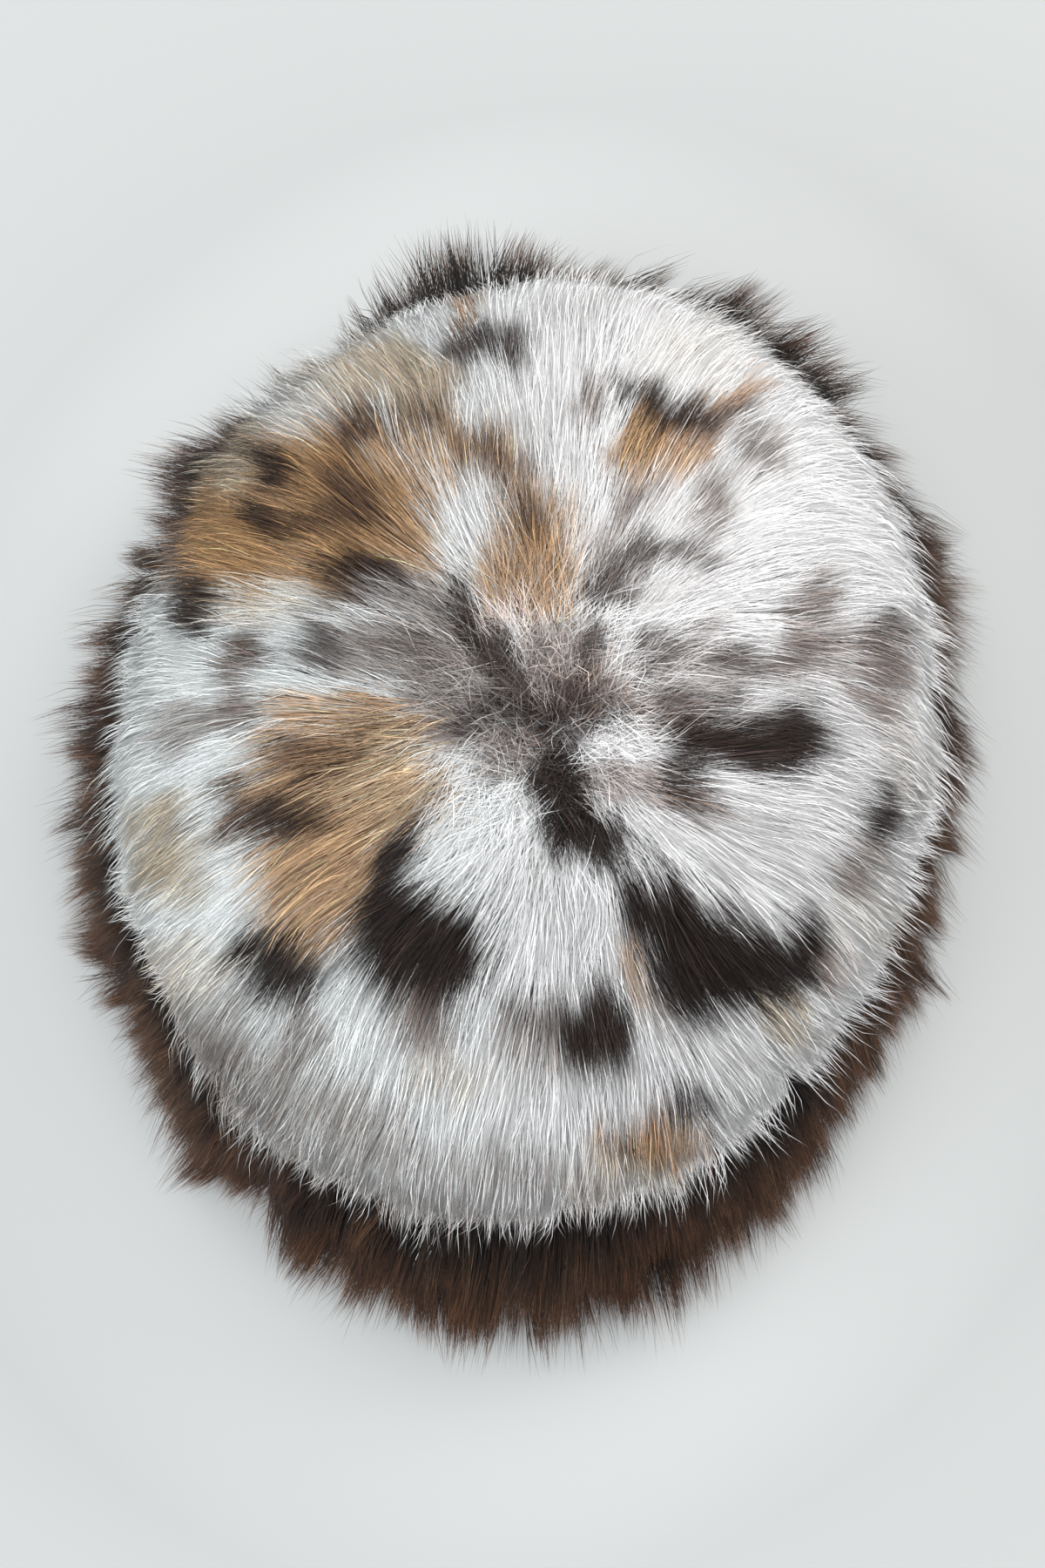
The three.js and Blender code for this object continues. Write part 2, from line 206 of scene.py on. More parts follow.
# the spots as they lie in the frame; the turn is in degrees, and left out where there is none
spotColumns = ("across", "down", "halfWide", "halfTall", "tint", "strength", "turn")
spotRows = [
    # upper left gore
    (305, 560, 115, 66, "tan", 0.92, 25), (240, 640, 58, 56, "tan", 0.92),
    (345, 625, 95, 42, "tan", 0.9), (425, 606, 66, 50, "tan", 0.85),
    (430, 422, 76, 32, "sand", 0.85, 10), (415, 545, 82, 62, "tan", 0.8),
    (490, 462, 34, 40, "lightTan", 0.75), (250, 520, 46, 30, "paleTan", 0.8, 30),
    (340, 455, 40, 22, "cream", 0.5, 30), (302, 690, 60, 24, "cream", 0.85),
    (312, 532, 25, 23, "dark", 0.95, -30), (405, 482, 30, 22, "brown", 0.95, 10),
    (478, 474, 34, 20, "brown", 0.8, 10), (398, 562, 38, 30, "brown", 0.92, -30),
    (303, 594, 38, 20, "dark", 0.92, -40), (352, 592, 40, 15, "brown", 0.75, -15),
    (415, 655, 46, 22, "dark", 0.95, -12), (385, 668, 22, 18, "brown", 0.8),
    (216, 692, 28, 28, "dark", 0.95), (188, 602, 22, 66, "greyBrown", 0.8),
    (236, 486, 30, 24, "dark", 0.85), (375, 372, 36, 15, "grey", 0.6, 38),
    # top gore
    (556, 384, 42, 19, "dark", 0.92, 10), (532, 404, 18, 20, "darkGrey", 0.8),
    (601, 401, 14, 12, "darkGrey", 0.85), (530, 346, 15, 17, "orangeTan", 0.7),
    (552, 514, 50, 28, "tan", 0.85, -22), (545, 508, 22, 24, "brown", 0.6),
    (588, 538, 32, 22, "greyBrown", 0.65), (612, 588, 44, 40, "tan", 0.72),
    (605, 598, 21, 28, "brown", 0.92), (605, 650, 52, 46, "tan", 0.82),
    (592, 702, 40, 24, "pinkish", 0.8),
    # upper right
    (674, 450, 22, 16, "greyBrown", 0.75), (740, 500, 40, 22, "tan", 0.92, 30),
    (788, 518, 48, 22, "orangeTan", 0.8, 20), (842, 452, 46, 14, "orangeTan", 0.75, 25),
    (740, 450, 34, 20, "dark", 0.95, -30), (778, 480, 42, 26, "dark", 0.97, -10),
    (845, 474, 28, 18, "brown", 0.85, 20), (886, 514, 28, 16, "grey", 0.75, -20),
    (800, 402, 56, 30, "cream", 0.35), (732, 566, 26, 17, "greyBrown", 0.75),
    (822, 572, 22, 28, "greyBrown", 0.75), (772, 630, 44, 20, "darkGrey", 0.92),
    (700, 660, 38, 24, "darkGrey", 0.9, 20), (700, 612, 36, 20, "taupe", 0.6, 20),
    # round the tip
    (485, 725, 56, 74, "grey", 0.8), (468, 742, 24, 24, "darkGrey", 0.55),
    (508, 830, 44, 26, "greyBrown", 0.8), (520, 780, 50, 40, "grey", 0.7),
    (650, 768, 58, 50, "taupe", 0.85), (692, 792, 44, 42, "greyBrown", 0.85),
    (650, 730, 44, 30, "grey", 0.6), (682, 732, 16, 24, "darkGrey", 0.8),
    (526, 686, 22, 32, "dark", 0.9, 20), (556, 742, 38, 22, "dark", 0.92, -50),
    (578, 780, 26, 36, "darkGrey", 0.85), (582, 826, 56, 32, "dark", 0.75),
    (645, 832, 60, 48, "dark", 0.72), (590, 870, 50, 26, "greyBrown", 0.7),
    (646, 886, 38, 36, "black", 0.92), (655, 925, 30, 44, "black", 0.95),
    (678, 966, 42, 30, "black", 0.97), (700, 860, 34, 24, "white", 0.7),
    # right
    (762, 745, 26, 24, "darkGrey", 0.82), (808, 722, 22, 12, "grey", 0.65),
    (815, 772, 58, 38, "taupe", 0.45), (855, 756, 38, 16, "darkGrey", 0.78, -8),
    (838, 796, 24, 16, "darkGrey", 0.8), (776, 798, 26, 18, "darkGrey", 0.75),
    (778, 826, 34, 24, "greyBrown", 0.8), (738, 902, 52, 26, "taupe", 0.75),
    (832, 840, 52, 24, "dark", 0.97), (874, 862, 58, 30, "dark", 0.97, -5),
    (924, 836, 30, 42, "dark", 0.97), (802, 884, 24, 36, "dark", 0.9),
    (818, 922, 26, 14, "brown", 0.75, -30), (936, 680, 24, 30, "greyBrown", 0.75),
    (932, 746, 30, 26, "greyBrown", 0.82), (972, 738, 28, 34, "taupe", 0.5),
    (1026, 728, 28, 30, "darkGrey", 0.85), (1026, 770, 30, 40, "greyBrown", 0.8),
    (1018, 812, 26, 22, "taupe", 0.6), (1046, 882, 26, 54, "blush", 0.8),
    (1011, 930, 17, 24, "dark", 0.92), (1020, 956, 19, 28, "dark", 0.95),
    (1002, 988, 24, 18, "grey", 0.75), (988, 1016, 30, 17, "greyBrown", 0.75),
    # lower right
    (995, 1060, 40, 30, "cream", 0.45), (726, 1120, 22, 42, "tan", 0.62),
    (772, 1150, 30, 38, "greyBrown", 0.7), (918, 1172, 26, 28, "paleTan", 0.75),
    (958, 1116, 26, 18, "pinkish", 0.6), (768, 1052, 60, 40, "black", 0.98, -45),
    (812, 1104, 66, 52, "black", 0.98, -40), (882, 1114, 72, 44, "black", 0.98, 8),
    (804, 1154, 30, 34, "black", 0.9), (928, 1082, 30, 28, "black", 0.95),
    (796, 1276, 32, 22, "dark", 0.88), (750, 1300, 16, 20, "greyBrown", 0.75),
    (748, 1326, 58, 26, "orangeTan", 0.88), (712, 1316, 17, 20, "brown", 0.7),
    (700, 1358, 66, 20, "cream", 0.7),
    # bottom
    (640, 1198, 70, 44, "grey", 0.75), (594, 1162, 26, 20, "darkGrey", 0.85),
    (640, 1172, 22, 22, "darkGrey", 0.75), (686, 1192, 38, 44, "dark", 0.96),
    # painted shade, in part: the grey and pale tan streaks from here to the bottom's end stand
    # partly for shadow between tufts and partly for greyer underfur between the white hair
    (520, 1238, 44, 18, "paleTan", 0.5, -15), (285, 1252, 62, 30, "grey", 0.55, -42),
    (400, 1284, 80, 30, "grey", 0.55, -24), (385, 1316, 66, 22, "greyBrown", 0.5, -26),
    (520, 1350, 96, 24, "grey", 0.5, -8), (640, 1360, 60, 18, "taupe", 0.35),
    # the ends of the hair over the band, greyed as painted shade where the dark band shows
    # through them
    (168, 1130, 62, 18, "taupe", 0.5, -66), (222, 1222, 66, 24, "greyBrown", 0.5, -58),
    (288, 1306, 66, 26, "greyBrown", 0.5, -42), (376, 1366, 66, 26, "greyBrown", 0.5, -28),
    (478, 1406, 66, 26, "greyBrown", 0.5, -14), (580, 1420, 62, 24, "greyBrown", 0.46, -2),
    (676, 1404, 50, 20, "taupe", 0.45, 12),
    # lower left
    (385, 835, 92, 40, "honey", 0.88, 8), (378, 915, 104, 64, "honey", 0.95),
    (440, 900, 52, 62, "lightTan", 0.75), (355, 1010, 68, 74, "honey", 0.95, 15),
    (405, 742, 28, 32, "greyBrown", 0.65), (335, 850, 42, 18, "brown", 0.7, 5),
    (342, 884, 42, 17, "brown", 0.75, -8), (408, 846, 42, 15, "brown", 0.45, 22),
    (332, 932, 46, 22, "dark", 0.9, -8), (306, 952, 27, 20, "dark", 0.9),
    (262, 912, 20, 28, "brown", 0.88), (262, 956, 24, 18, "brown", 0.88),
    (444, 1012, 68, 30, "black", 0.98, 62), (432, 1062, 36, 34, "black", 0.98),
    (482, 1096, 76, 68, "black", 0.99), (462, 1064, 52, 50, "black", 0.95),
    (520, 1090, 28, 42, "black", 0.95), (480, 1180, 32, 34, "greyBrown", 0.8),
    (312, 1112, 56, 40, "black", 0.98, -25), (348, 1188, 34, 38, "greyBrown", 0.6, 30),
    (248, 1180, 62, 36, "grey", 0.62, -50), (328, 1228, 26, 20, "greyBrown", 0.5),
    # left
    (218, 826, 58, 24, "grey", 0.75, 12), (280, 746, 32, 22, "brown", 0.85, 30),
    (262, 786, 22, 34, "greyBrown", 0.85), (364, 736, 26, 36, "darkGrey", 0.85),
    (178, 962, 32, 46, "drab", 0.8), (190, 1014, 36, 30, "drab", 0.6),
    (206, 1115, 44, 32, "cream", 0.8), (198, 956, 18, 10, "brown", 0.55),
]
spots = [dict(zip(spotColumns, row)) for row in spotRows]

coat = {
    "spotGrowth": 1.10,
    "edgeBlur": 0.22,
    "edgeScatter": 0.14,
    # how far the spots' edges wander, in pixels of the frame, and over what length of coat
    "warps": ((15, 0.016, 5), (6, 0.005, 9)),
    "clumpShift": 0.0013,
    # grey flecks over the white: partly the coat's own grey, partly painted shade between
    # tufts
    "fleckAndShade": 0.24,
    "fleckAndShadeWave": (1, 0.03, 7),
    "fleckAndShadeFrom": 0.25,
    # painted shade: the white turns cooler and a little darker towards the left, the less lit
    # side, over this many pixels and from this share
    "leftShadeWidth": 500,
    "leftShadeShare": 0.3,
    "ticking": 0.55,
    # a hair takes a spot's tint whole or not at all, and besides that a share of it
    "wholeShare": 0.55,
    "mixedShare": 0.45,
    "wholeLimit": 0.9,
    "wholeBlur": 0.1,
}


def coatTint(points, seed):
    # one seed gives every hair the same luck at each place along it
    rng = np.random.default_rng(seed)
    across, down = inFrame(points)
    for warp, length, number in coat["warps"]:
        across = across + warp * softNoise(points, length, number)
        down = down + warp * softNoise(points, length, number + 1)
    # painted shade: towards the left the white blends into a cooler, darker white
    leftwards = (view["imageWidth"] / 2 - across) / coat["leftShadeWidth"]
    leftShade = np.clip(leftwards + coat["leftShadeShare"], 0, 1)[:, None]
    tint = np.array(tints["white"]) * (1 - leftShade) + np.array(tints["leftShadeWhite"]) * leftShade
    # painted shade, in part: soft grey flecks over the white
    fleckAndShade = addWaves(points, [coat["fleckAndShadeWave"]]) - coat["fleckAndShadeFrom"]
    fleckAndShade = np.clip(fleckAndShade, 0, 1)[:, None]
    tint = tint + (np.array(tints["grey"]) - tint) * fleckAndShade * coat["fleckAndShade"]
    ticking = np.exp(coat["ticking"] * rng.normal(size=(len(points), 1)))
    for spot in spots:
        turn = math.radians(spot.get("turn", 0))
        right, up = across - spot["across"], spot["down"] - down
        far = np.hypot(
            (right * math.cos(turn) + up * math.sin(turn)) / spot["halfWide"],
            (up * math.cos(turn) - right * math.sin(turn)) / spot["halfTall"],
        )
        far = far / coat["spotGrowth"] + coat["edgeScatter"] * rng.normal(size=len(points))
        inside = np.clip((1 + coat["edgeBlur"] - far) / (2 * coat["edgeBlur"]), 0, 1)
        weight = spot["strength"] * inside * inside * (3 - 2 * inside)
        hairLimit = rng.uniform(0, coat["wholeLimit"], len(points))
        whole = np.clip((weight - hairLimit) / coat["wholeBlur"], 0, 1)
        share = (coat["wholeShare"] * whole + coat["mixedShare"] * weight)[:, None]
        tint = tint + (np.array(tints[spot["tint"]]) * ticking - tint) * share
    return tint


hairShape = {
    "Sides": 3,
    "Root Width": 0.75,
    "Belly Gain": 2.1,
    "Flatness": 0.8,
}
# the kinds of hair, and the number of straight lengths in each
hairKinds = {"fine": 1, "body": 2, "guard": 3}
# the shares of a hair's length at which its root, middle and tip tints hold
hairStations = (0.5, 0.76, 1.0)


def addNode(tree, kind, **settings):
    node = tree.nodes.new(kind)
    for name, value in settings.items():
        setattr(node, name, value)
    return node


def setInputs(node, values):
    for key, value in values.items():
        node.inputs[key].default_value = value
    return node


def maths(tree, operation, *values, kind="ShaderNodeMath"):
    node = addNode(tree, kind, operation=operation)
    for socket, value in zip(node.inputs, values):
        if isinstance(value, bpy.types.NodeSocket):
            tree.links.new(value, socket)
        else:
            socket.default_value = value
    return node.outputs[0]


def vectors(tree, operation, *values):
    return maths(tree, operation, *values, kind="ShaderNodeVectorMath")


def scaled(tree, vector, factor):
    node = addNode(tree, "ShaderNodeVectorMath", operation="SCALE")
    tree.links.new(vector, node.inputs[0])
    tree.links.new(factor, node.inputs["Scale"])
    return node.outputs[0]


def makeHairTree():
    # puts a tapered hair on every root point, bent along the point's own lean and bend
    tree = bpy.data.node_groups.new("hairOnRoots", "GeometryNodeTree")
    face = tree.interface
    face.new_socket("Geometry", in_out="INPUT", socket_type="NodeSocketGeometry")
    for name, kind in (
        ("Sides", "NodeSocketInt"),
        ("Lengths", "NodeSocketInt"),
        ("Root Width", "NodeSocketFloat"),
        ("Belly Gain", "NodeSocketFloat"),
        ("Flatness", "NodeSocketFloat"),
        ("Hair Material", "NodeSocketMaterial"),
    ):
        face.new_socket(name, in_out="INPUT", socket_type=kind)
    face.new_socket("Geometry", in_out="OUTPUT", socket_type="NodeSocketGeometry")
    link = tree.links.new
    given = addNode(tree, "NodeGroupInput")
    result = addNode(tree, "NodeGroupOutput")

    def after(source, kind, **settings):
        node = addNode(tree, kind, **settings)
        link(source.outputs[0], node.inputs[0])
        return node

    cone = addNode(tree, "GeometryNodeMeshCone", fill_type="NGON")
    link(given.outputs["Sides"], cone.inputs["Vertices"])
    link(given.outputs["Lengths"], cone.inputs["Side Segments"])
    setInputs(cone, {"Radius Top": 0, "Radius Bottom": 1, "Depth": 1})
    held = after(cone, "GeometryNodeCaptureAttribute", domain="POINT")
    held.capture_items.new("VECTOR", "Own Place")
    link(addNode(tree, "GeometryNodeInputPosition").outputs[0], held.inputs["Own Place"])

    placed = after(given, "GeometryNodeInstanceOnPoints")
    link(held.outputs["Geometry"], placed.inputs["Instance"])
    real = after(placed, "GeometryNodeRealizeInstances")

    def named(name, kind="FLOAT_VECTOR"):
        node = addNode(tree, "GeometryNodeInputNamedAttribute", data_type=kind)
        return setInputs(node, {"Name": name}).outputs["Attribute"]

    parts = addNode(tree, "ShaderNodeSeparateXYZ")
    link(held.outputs["Own Place"], parts.inputs[0])
    share = parts.outputs["Z"]
    widthFactor = maths(
        tree, "ADD",
        given.outputs["Root Width"],
        maths(tree, "MULTIPLY", share, given.outputs["Belly Gain"]),
    )
    width = maths(tree, "MULTIPLY", widthFactor, named("width", "FLOAT"))
    sideways = maths(tree, "MULTIPLY", parts.outputs["X"], width)
    outwards = maths(
        tree, "MULTIPLY",
        maths(tree, "MULTIPLY", parts.outputs["Y"], width),
        given.outputs["Flatness"],
    )
    along = vectors(
        tree, "ADD",
        scaled(tree, named("lean"), share),
        scaled(tree, named("bend"), maths(tree, "MULTIPLY", share, share)),
    )
    across = vectors(
        tree, "ADD",
        scaled(tree, named("side"), sideways),
        scaled(tree, named("out"), outwards),
    )
    place = vectors(tree, "ADD", named("root"), vectors(tree, "ADD", along, across))
    moved = after(real, "GeometryNodeSetPosition")
    link(place, moved.inputs["Position"])
    last = after(moved, "GeometryNodeStoreNamedAttribute", data_type="FLOAT", domain="POINT")
    setInputs(last, {"Name": "share"})
    link(share, last.inputs["Value"])
    for name in ("root", "lean", "bend", "side", "width"):
        last = setInputs(after(last, "GeometryNodeRemoveAttribute"), {"Name": name})
    smooth = after(last, "GeometryNodeSetShadeSmooth")
    finish = after(smooth, "GeometryNodeSetMaterial")
    link(given.outputs["Hair Material"], finish.inputs["Material"])
    link(finish.outputs[0], result.inputs[0])
    return tree


hairTree = makeHairTree()


def storeValues(mesh, name, values):
    kind, field = ("FLOAT", "value") if values.ndim == 1 else ("FLOAT_VECTOR", "vector")
    if name.lower().endswith("tint"):
        kind, field = "FLOAT_COLOR", "color"
        values = np.concatenate([values, np.ones((len(values), 1))], 1)
    data = mesh.attributes.new(name, kind, "POINT").data
    data.foreach_set(field, values.astype(np.float32).ravel())


def pointCloud(name, columns):
    mesh = bpy.data.meshes.new(name)
    mesh.vertices.add(len(columns["root"]))
    mesh.vertices.foreach_set("co", np.ascontiguousarray(columns["root"], np.float32).ravel())
    for key, values in columns.items():
        storeValues(mesh, key, values)
    mesh.update()
    return mesh


def growHair(name, columns, lengths, material):
    holder = newObject(name, pointCloud(name, columns))
    modifier = holder.modifiers.new("hair", "NODES")
    modifier.node_group = hairTree
    inputs = {
        item.name: item.identifier
        for item in hairTree.interface.items_tree
        if item.in_out == "INPUT"
    }
    for key, value in hairShape.items():
        modifier[inputs[key]] = value
    modifier[inputs["Lengths"]] = lengths
    modifier[inputs["Hair Material"]] = material
    bpy.context.view_layer.update()
    evaluated = holder.evaluated_get(bpy.context.evaluated_depsgraph_get())
    mesh = bpy.data.meshes.new_from_object(evaluated)
    bpy.data.objects.remove(holder)
    return mesh


def hairColumns(rootPlace, midPlace, endPlace, out, width=None, *stationTints):
    # lean and bend make the curve that passes through the middle and the end
    mid, end = midPlace - rootPlace, endPlace - rootPlace
    columns = {
        "root": rootPlace,
        "lean": 4 * mid - end,
        "bend": 2 * end - 4 * mid,
        "side": unit(np.cross(end, out)),
        "out": out,
        "width": width,
    }
    columns.update(zip(("rootTint", "midTint", "tipTint"), stationTints))
    return columns


def nearestOf(points, centres):
    nearest = np.empty(len(points), int)
    atOnce = 2000  # keeps the table of distances small
    for start in range(0, len(points), atOnce):
        part = points[start:start + atOnce]
        gaps = ((part[:, None, :] - centres[None]) ** 2).sum(-1)
        nearest[start:start + atOnce] = gaps.argmin(1)
    return nearest


def drawTogether(nearest, moving, pulls):
    # moves the hairs of each tuft towards the tuft's own mean
    counts = np.maximum(np.bincount(nearest, minlength=len(pulls)), 1)[:, None]
    strength, mostPull = pulls[nearest][:, None], 0.95
    for points, share in moving:
        means = np.stack(
            [np.bincount(nearest, points[:, k], len(pulls)) for k in range(3)], -1
        ) / counts
        points += (means[nearest] - points) * np.clip(strength * share, 0, mostPull)


def clumpTogether(piece, roots, moving, rng):
    count = max(2, len(roots) // piece["hairsPerClump"])
    centres = roots[rng.choice(len(roots), count, replace=False)]
    nearest = nearestOf(roots, centres)
    drawTogether(nearest, moving, piece["clumpPull"] * rng.uniform(0.5, 1.3, count))
    return rng.normal(size=count)[nearest]


def sampleHide(count, travelRange, angleRange, rng):
    # places spread evenly over the hide, which nowhere has more area to a step than mostArea
    travel, angle, mostArea = np.empty(0), np.empty(0), 0.022
    while len(travel) < count:
        tryTravel = rng.uniform(*travelRange, count * 3)
        tryAngle = rng.uniform(*angleRange, count * 3)
        here = hideFrame(tryTravel, tryAngle)
        area = here["downRate"] * here["aroundRate"]
        kept = rng.uniform(0, mostArea, len(area)) < area
        travel = np.concatenate([travel, tryTravel[kept]])
        angle = np.concatenate([angle, tryAngle[kept]])
    return travel[:count], angle[:count]


def makeTufts(travelRange, angleRange, count, seed):
    # places that all the kinds of hair on a piece gather round
    rng = np.random.default_rng(seed)
    travel, angle = sampleHide(count, travelRange, angleRange, rng)
    return {
        "centres": hidePlace(travel, angle),
        "gain": rng.normal(size=count),
        "shade": rng.normal(size=count),
        "pull": rng.uniform(0.4, 1.3, count),
    }


def attribute(tree, name, output="Color"):
    return addNode(tree, "ShaderNodeAttribute", attribute_name=name).outputs[output]


def objectNoise(tree, scale, detail=2):
    noise = setInputs(addNode(tree, "ShaderNodeTexNoise"), {"Scale": scale, "Detail": detail})
    where = addNode(tree, "ShaderNodeTexCoord").outputs["Object"]
    tree.links.new(where, noise.inputs["Vector"])
    return noise.outputs[0]


def mapRange(tree, value, *limits):
    # limits are the lowest and highest value, and what each of them becomes, or else 0 and 1
    node = addNode(tree, "ShaderNodeMapRange")
    setInputs(node, dict(zip(("From Min", "From Max", "To Min", "To Max"), limits)))
    tree.links.new(value, node.inputs["Value"])
    return node.outputs[0]


def newMaterial(name, roughness):
    material = bpy.data.materials.new(name)
    material.use_nodes = True
    surface = material.node_tree.nodes["Principled BSDF"]
    setInputs(surface, {"Roughness": roughness})
    return material, material.node_tree, surface


def alongHair(tree):
    # the root, middle and tip tints, each at its own place along the hair
    share, last = attribute(tree, "share", "Fac"), attribute(tree, "rootTint")
    for name, low, high in zip(("midTint", "tipTint"), hairStations, hairStations[1:]):
        blend = addNode(tree, "ShaderNodeMix", data_type="RGBA")
        tree.links.new(mapRange(tree, share, low, high), blend.inputs[0])
        tree.links.new(last, blend.inputs[6])
        tree.links.new(attribute(tree, name), blend.inputs[7])
        last = blend.outputs[2]
    return last


def softNormal(tree, soften):
    # light falls on a pile as on one soft surface, so a hair's normal leans to the hide's
    blend = setInputs(addNode(tree, "ShaderNodeMix", data_type="VECTOR"), {0: soften})
    own = addNode(tree, "ShaderNodeNewGeometry").outputs["Normal"]
    tree.links.new(own, blend.inputs[4])
    tree.links.new(attribute(tree, "out", "Vector"), blend.inputs[5])
    return vectors(tree, "NORMALIZE", blend.outputs[1])


def furMaterial(name, roughness, mottle, mottleScale, soften):
    # a hair's tint changes along it, and the underfur's only from place to place
    material, tree, surface = newMaterial(name, roughness)
    if soften:
        tint = alongHair(tree)
        tree.links.new(softNormal(tree, soften), surface.inputs["Normal"])
    else:
        tint = attribute(tree, "tint")
    mottling = objectNoise(tree, mottleScale, 4)
    level = mapRange(tree, mottling, 0.3, 0.7, 1 - mottle, 1 + mottle * 0.4)
    mix = addNode(tree, "ShaderNodeMix", data_type="RGBA", blend_type="MULTIPLY")
    setInputs(mix, {0: 1})
    tree.links.new(tint, mix.inputs[6])
    tree.links.new(level, mix.inputs[7])
    tree.links.new(mix.outputs[2], surface.inputs["Base Color"])
    setInputs(surface, {"Specular IOR Level": 0.12})
    return material


def addNap(tree, surface, scale, strength, depth):
    bump = addNode(tree, "ShaderNodeBump")
    setInputs(bump, {"Strength": strength, "Distance": depth})
    tree.links.new(objectNoise(tree, scale), bump.inputs["Height"])
    tree.links.new(bump.outputs[0], surface.inputs["Normal"])
    return bump


def underfurMaterial():
    material = furMaterial("underfur", roughness=0.9, mottle=0.12, mottleScale=260, soften=0)
    tree = material.node_tree
    surface = tree.nodes["Principled BSDF"]
    bump = addNap(tree, surface, scale=900, strength=0.8, depth=0.0008)
    tree.links.new(softNormal(tree, 0.9), bump.inputs["Normal"])
    return material


suedeLook = {
    "roughness": 0.92,
    "blotchScale": 38,
    "blotchDetail": 6,
    "darker": (0.3, (0.50, 0.40, 0.30, 1)),
    "paler": (0.72, (0.66, 0.56, 0.44, 1)),
}


def suedeMaterial():
    material, tree, surface = newMaterial("hideSuede", suedeLook["roughness"])
    ramp = addNode(tree, "ShaderNodeValToRGB")
    for stop, key in zip(ramp.color_ramp.elements, ("darker", "paler")):
        stop.position, stop.color = suedeLook[key]
    blotch = objectNoise(tree, suedeLook["blotchScale"], suedeLook["blotchDetail"])
    tree.links.new(blotch, ramp.inputs[0])
    tree.links.new(ramp.outputs[0], surface.inputs["Base Color"])
    addNap(tree, surface, scale=1400, strength=0.5, depth=0.0004)
    return material


hairMaterial = furMaterial(
    "spottedHair", roughness=0.7, mottle=0.03, mottleScale=90, soften=0.88
)
bandMaterial = furMaterial(
    "brownHair", roughness=0.5, mottle=0.22, mottleScale=70, soften=0.15
)
underfur = underfurMaterial()
suede = suedeMaterial()


def shellMesh(name, travels, angles, outerAt, closedRound, tintAt, shadeTravel):
    # outer and inner skins on one grid, joined round the edges
    gridTravel, gridAngle = np.meshgrid(travels, angles, indexing="ij")
    here = hideFrame(gridTravel.ravel(), gridAngle.ravel())
    outset = outerAt(gridTravel.ravel(), gridAngle.ravel(), here["place"])
    outer = here["place"] + here["out"] * outset[:, None]
    inner = here["place"] - here["out"] * hide["wall"]
    rows, columns = len(travels), len(angles)
    place = lambda r, c: r * columns + c % columns
    size = rows * columns
    faces, inside = [], []

    def addFace(ring, onInside=0):
        faces.append(ring)
        inside.append(onInside)

    def joinSkins(first, second):
        addFace([first, second, size + second, size + first])

    spans = columns if closedRound else columns - 1
    for r in range(rows - 1):
        for c in range(spans):
            ring = [place(r, c), place(r + 1, c), place(r + 1, c + 1), place(r, c + 1)]
            addFace(ring)
            addFace([size + k for k in reversed(ring)], 1)
    for c in range(spans):
        joinSkins(place(0, c), place(0, c + 1))
        joinSkins(place(rows - 1, c + 1), place(rows - 1, c))
    if not closedRound:
        for r in range(rows - 1):
            joinSkins(place(r + 1, 0), place(r, 0))
            joinSkins(place(r, columns - 1), place(r + 1, columns - 1))
    mesh = bpy.data.meshes.new(name)
    points = np.concatenate([outer, inner])
    mesh.from_pydata(points.tolist(), [], faces)
    mesh.polygons.foreach_set("material_index", inside)
    mesh.materials.append(underfur)
    mesh.materials.append(suede)
    storeValues(mesh, "tint", np.concatenate([tintAt(outer)] * 2))
    facing = hideFrame(np.minimum(gridTravel.ravel(), shadeTravel), gridAngle.ravel())["out"]
    storeValues(mesh, "out", np.concatenate([facing, -facing]))
    mesh.polygons.foreach_set("use_smooth", [True] * len(mesh.polygons))
    mesh.update()
    return mesh


def joinMeshes(name, meshes):
    objects = [newObject(name, mesh) for mesh in meshes]
    bpy.ops.object.select_all(action="DESELECT")
    for item in objects:
        item.select_set(True)
    bpy.context.view_layer.objects.active = objects[0]
    bpy.ops.object.join()
    objects[0].name = name
    return objects[0]


def addPiece(item, node):
    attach(item, "root")
    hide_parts(node)
    print(item.name, "made,", len(item.data.polygons), "faces")


